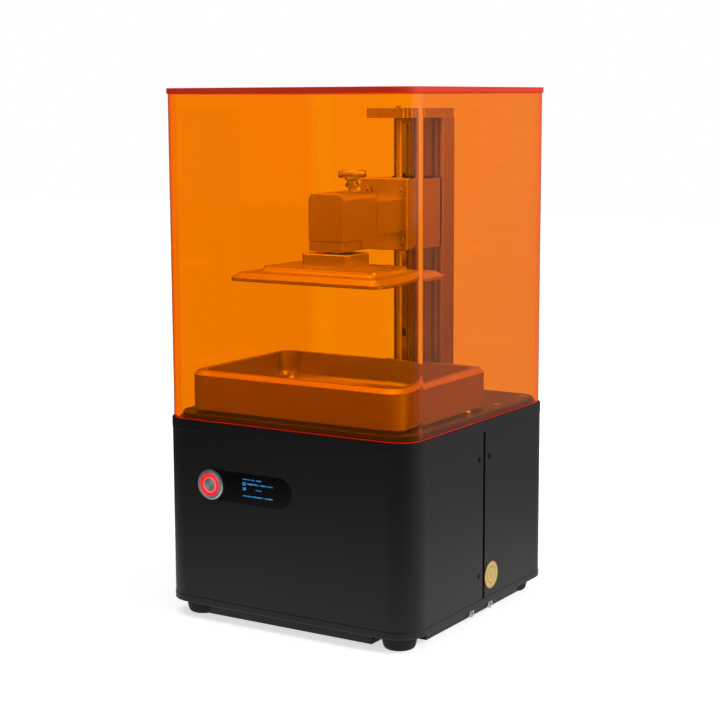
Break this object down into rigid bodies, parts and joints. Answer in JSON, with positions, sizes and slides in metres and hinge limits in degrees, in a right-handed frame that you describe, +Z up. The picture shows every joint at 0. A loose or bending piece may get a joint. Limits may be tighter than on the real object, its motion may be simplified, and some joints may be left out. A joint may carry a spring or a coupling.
{
  "type": "resin printer",
  "caption": "Desktop resin printer with a clear amber box cover, a resin vat over a masked screen, and a build plate carried on a column by a lead screw.",
  "frame": {"origin": "centre of the outline, on the surface that the feet stand on", "axes": "+Z up; the front with the button and display window faces -Y; +X is to the right seen from the front"},
  "size_m": [0.21, 0.2138, 0.3824],
  "materials": {
    "amber_acrylic": "clear amber-orange cast acrylic, glossy",
    "black_powder": "fine-textured black powder coat",
    "black_plastic": "matte black moulded plastic",
    "black_gloss": "gloss black smoked window",
    "rubber_black": "soft matte rubber",
    "aluminium_satin": "bead-blasted and clear anodised",
    "aluminium_machined": "fine machined",
    "steel_bright": "ground steel",
    "steel_black": "black oxide screw",
    "button_steel": "turned stainless steel",
    "ring_red": "translucent red light ring",
    "gold_foil": "gold foil sticker",
    "brass_nut": "machined brass",
    "panel_glass": "dark screen glass",
    "film_clear": "clear release film",
    "board_green": "circuit board with solder mask",
    "led_lens": "clear lens cap",
    "nylon_white": "white nylon"
  },
  "bodies": {
    "base": {"feet": "rubber_black", "base_screws": "steel_bright", "base_tray": "black_powder", "bottom_plate": "black_powder", "side_pillars": "black_powder", "front_shell": "black_powder", "rear_shell": "black_powder", "shell_screws": "steel_black", "seal_disc": "gold_foil", "power_inlet": "black_plastic", "switch_frame": "black_plastic", "usb_port": "steel_bright", "display_window": "black_gloss", "display_board": "panel_glass", "button_body": "button_steel", "button_ring": "ring_red", "rim_plate": "black_powder", "deck": "black_powder", "deck_screws": "steel_bright", "vat_pins": "steel_bright", "lcd_panel": "panel_glass", "light_hood": "black_plastic", "led_board": "board_green", "led_array": "led_lens", "heat_sink": "aluminium_satin", "spacer_posts": "steel_bright", "fan_frame": "black_plastic", "mainboard": "board_green", "z_motor": "steel_black", "column": "aluminium_satin", "linear_rail": "steel_bright", "rail_screws": "steel_black", "top_plate": "aluminium_machined", "top_plate_screws": "steel_black", "top_bearing": "steel_bright"},
    "screw_drive": {"lead_screw": "steel_bright", "shaft_coupler": "aluminium_machined"},
    "carriage": {"rail_carriage": "steel_bright", "carriage_end_caps": "black_plastic", "saddle": "aluminium_machined", "lead_nut": "brass_nut", "arm_bracket": "aluminium_machined", "bracket_screws": "steel_black", "arm": "aluminium_machined"},
    "head": {"head_block": "aluminium_machined", "ball_clamp": "aluminium_machined"},
    "knob": {"knob": "aluminium_machined"},
    "ball": {"ball": "steel_bright"},
    "platform": {"ball_stud": "steel_bright", "neck_block": "aluminium_machined", "neck_screws": "steel_bright", "build_plate": "aluminium_satin"},
    "vat": {"vat_body": "aluminium_satin", "vat_film": "film_clear", "film_clamp": "aluminium_machined"},
    "cover": {"cover_walls": "amber_acrylic", "cover_lid": "amber_acrylic"},
    "button": {"button_cap": "button_steel"},
    "fan": {"fan_rotor": "black_plastic"},
    "switch": {"switch_rocker": "black_plastic"}
  },
  "joints": [
    {"name": "z_travel", "type": "slide", "parent": "base", "child": "carriage", "axis": [0, 0, 1], "range_m": [-0.0927, 0.042]},
    {"name": "screw_spin", "type": "hinge", "parent": "base", "child": "screw_drive", "pos_m": [0, 0.0563, 0.2], "axis": [0, 0, 1], "range_deg": [-1900, 4260]},
    {"name": "head_pull", "type": "slide", "parent": "carriage", "child": "head", "axis": [0, -1, 0], "range_m": [0, 0.019]},
    {"name": "knob_turn", "type": "hinge", "parent": "head", "child": "knob", "pos_m": [0, -0.008, 0.31], "axis": [0, 0, 1], "range_deg": [-1080, 0]},
    {"name": "ball_tilt_x", "type": "hinge", "parent": "head", "child": "ball", "pos_m": [0, -0.0307, 0.2741], "axis": [1, 0, 0], "range_deg": [-1, 1]},
    {"name": "ball_tilt_y", "type": "hinge", "parent": "ball", "child": "platform", "pos_m": [0, -0.0307, 0.2741], "axis": [0, 1, 0], "range_deg": [-1, 1]},
    {"name": "vat_lift", "type": "slide", "parent": "base", "child": "vat", "axis": [0, 0, 1], "range_m": [0, 0.05]},
    {"name": "cover_lift", "type": "slide", "parent": "base", "child": "cover", "axis": [0, 0, 1], "range_m": [0, 0.24]},
    {"name": "button_press", "type": "slide", "parent": "base", "child": "button", "axis": [0, 1, 0], "range_m": [0, 0.0008], "stiffness_N_per_m": 1500, "springref_m": -0.001},
    {"name": "fan_spin", "type": "hinge", "parent": "base", "child": "fan", "pos_m": [0, -0.0294, 0.024], "axis": [0, 0, 1], "continuous": true},
    {"name": "switch_rock", "type": "hinge", "parent": "base", "child": "switch", "pos_m": [-0.034, 0.0993, 0.052], "axis": [1, 0, 0], "range_deg": [-16, 0]}
  ],
  "couplings": [
    {"joint": "screw_spin", "follows": "z_travel", "rad_per_m": -785.4}
  ]
}
